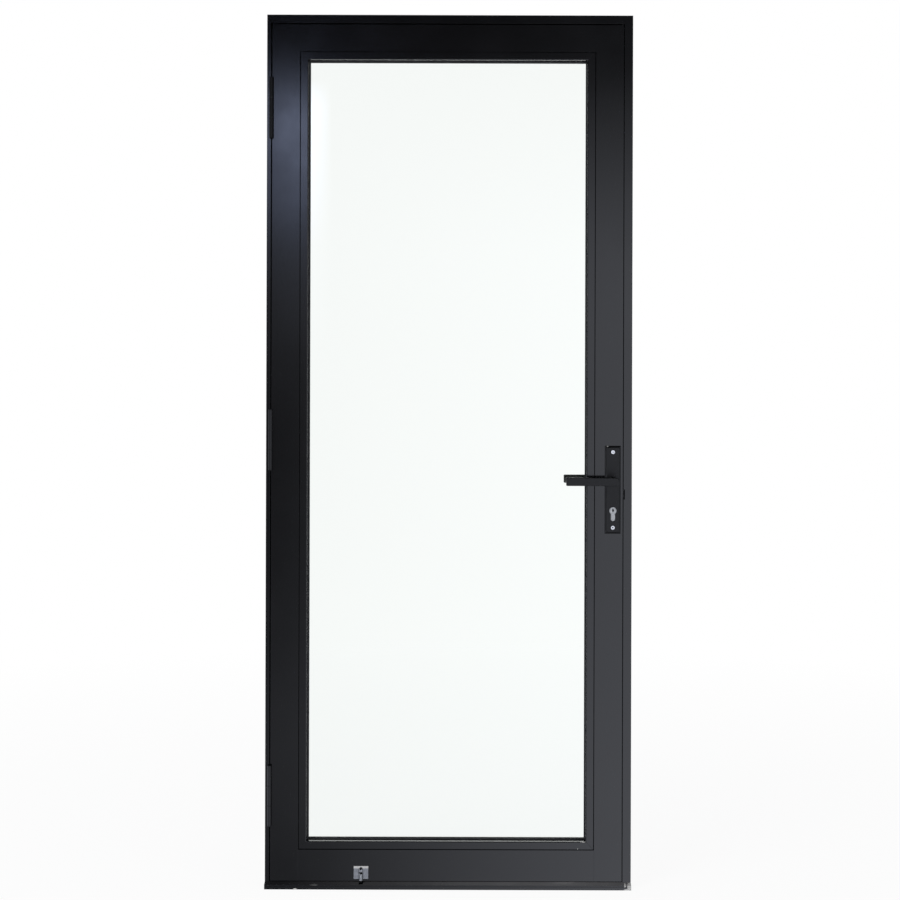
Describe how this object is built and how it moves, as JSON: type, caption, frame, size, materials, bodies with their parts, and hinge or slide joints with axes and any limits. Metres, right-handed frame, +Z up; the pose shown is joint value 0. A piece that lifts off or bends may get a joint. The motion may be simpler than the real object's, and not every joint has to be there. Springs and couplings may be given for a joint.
{
  "type": "glazed aluminium door with its frame",
  "caption": "Narrow-framed black aluminium door with a full-height clear glass pane, hinged at the left, with lever handles, a cylinder lock and a foot bolt, in its own frame.",
  "frame": {"origin": "bottom of the sill, midway between the frame's sides and midway through the leaf", "axes": "+X from the hinge side to the lock side, +Y from the front to the rear, +Z up"},
  "size_m": [0.88, 0.15, 2.1],
  "materials": {
    "powder_coat": "satin",
    "clear_glass": "polished",
    "black_rubber": "matt",
    "black_plastic": "matt",
    "mill_aluminium": "as extruded",
    "stainless_steel": "brushed",
    "zinc_steel": "zinc plated",
    "zinc_cast": "cast, dull",
    "satin_nickel": "satin"
  },
  "bodies": {
    "frame": {"frame_head": "powder_coat", "frame_hinge_jamb": "powder_coat", "frame_lock_jamb": "powder_coat", "frame_sill": "powder_coat", "frame_stops": "powder_coat", "frame_corner_cleats": "mill_aluminium", "frame_seal_head": "black_rubber", "frame_seal_hinge_side": "black_rubber", "frame_seal_lock_side": "black_rubber", "frame_seal_sill": "black_rubber", "strike_plate": "powder_coat", "strike_screws": "zinc_steel", "hinge_top_frame_leaf": "powder_coat", "hinge_middle_frame_leaf": "powder_coat", "hinge_bottom_frame_leaf": "powder_coat", "hinge_top_pin": "powder_coat", "hinge_middle_pin": "powder_coat", "hinge_bottom_pin": "powder_coat", "hinge_pin_caps": "powder_coat", "hinge_frame_screws": "zinc_steel", "hinge_washers": "black_plastic"},
    "leaf": {"hinge_stile": "powder_coat", "lock_stile": "powder_coat", "top_rail": "powder_coat", "bottom_rail": "powder_coat", "leaf_corner_cleats": "mill_aluminium", "glazing_bead_top": "powder_coat", "glazing_bead_bottom": "powder_coat", "glazing_bead_hinge_side": "powder_coat", "glazing_bead_lock_side": "powder_coat", "glass_pane": "clear_glass", "front_glazing_gasket": "black_rubber", "rear_glazing_gasket": "black_rubber", "setting_blocks": "black_plastic", "hinge_top_door_leaf": "powder_coat", "hinge_middle_door_leaf": "powder_coat", "hinge_bottom_door_leaf": "powder_coat", "hinge_door_screws": "zinc_steel", "lock_case": "zinc_steel", "lock_cover": "zinc_steel", "lock_forend": "powder_coat", "lock_screws": "zinc_steel", "cylinder_body": "satin_nickel", "front_backplate": "powder_coat", "rear_backplate": "powder_coat", "handle_screws": "zinc_steel", "bolt_housing": "zinc_cast", "bolt_housing_screws": "zinc_steel"},
    "lever": {"front_lever": "powder_coat", "rear_lever": "powder_coat", "spindle": "zinc_steel", "follower": "zinc_cast", "lever_set_screws": "zinc_steel"},
    "lever_bolt": {"lever_bolt": "stainless_steel"},
    "dead_bolt": {"dead_bolt": "stainless_steel", "dead_bolt_tail": "zinc_steel"},
    "front_key": {"front_key_plug": "satin_nickel", "cylinder_cam": "zinc_cast"},
    "rear_key": {"rear_key_plug": "satin_nickel"},
    "foot_bolt": {"foot_bolt": "zinc_steel"}
  },
  "joints": [
    {"name": "leaf_swing", "type": "hinge", "parent": "frame", "child": "leaf", "pos_m": [-0.429, -0.0255, 1.05], "axis": [0, 0, -1], "range_deg": [0, 170]},
    {"name": "lever_turn", "type": "hinge", "parent": "leaf", "child": "lever", "pos_m": [0.394, 0, 0.9812], "axis": [0, 1, 0], "range_deg": [0, 45]},
    {"name": "lever_bolt_slide", "type": "slide", "parent": "leaf", "child": "lever_bolt", "axis": [1, 0, 0], "range_m": [0, 0.009]},
    {"name": "key_front_turn", "type": "hinge", "parent": "leaf", "child": "front_key", "pos_m": [0.394, -0.0175, 0.9096], "axis": [0, 1, 0], "range_deg": [0, 360]},
    {"name": "dead_bolt_slide", "type": "slide", "parent": "leaf", "child": "dead_bolt", "axis": [1, 0, 0], "range_m": [0, 0.012]},
    {"name": "key_rear_turn", "type": "hinge", "parent": "leaf", "child": "rear_key", "pos_m": [0.394, 0.0175, 0.9096], "axis": [0, 1, 0], "range_deg": [0, 360]},
    {"name": "foot_bolt_slide", "type": "slide", "parent": "leaf", "child": "foot_bolt", "axis": [0, 0, -1], "range_m": [0, 0.0105]}
  ],
  "couplings": [
    {"joint": "lever_bolt_slide", "follows": "lever_turn", "m_per_rad": 0.011459},
    {"joint": "dead_bolt_slide", "follows": "key_front_turn", "m_per_rad": 0.0019098}
  ]
}
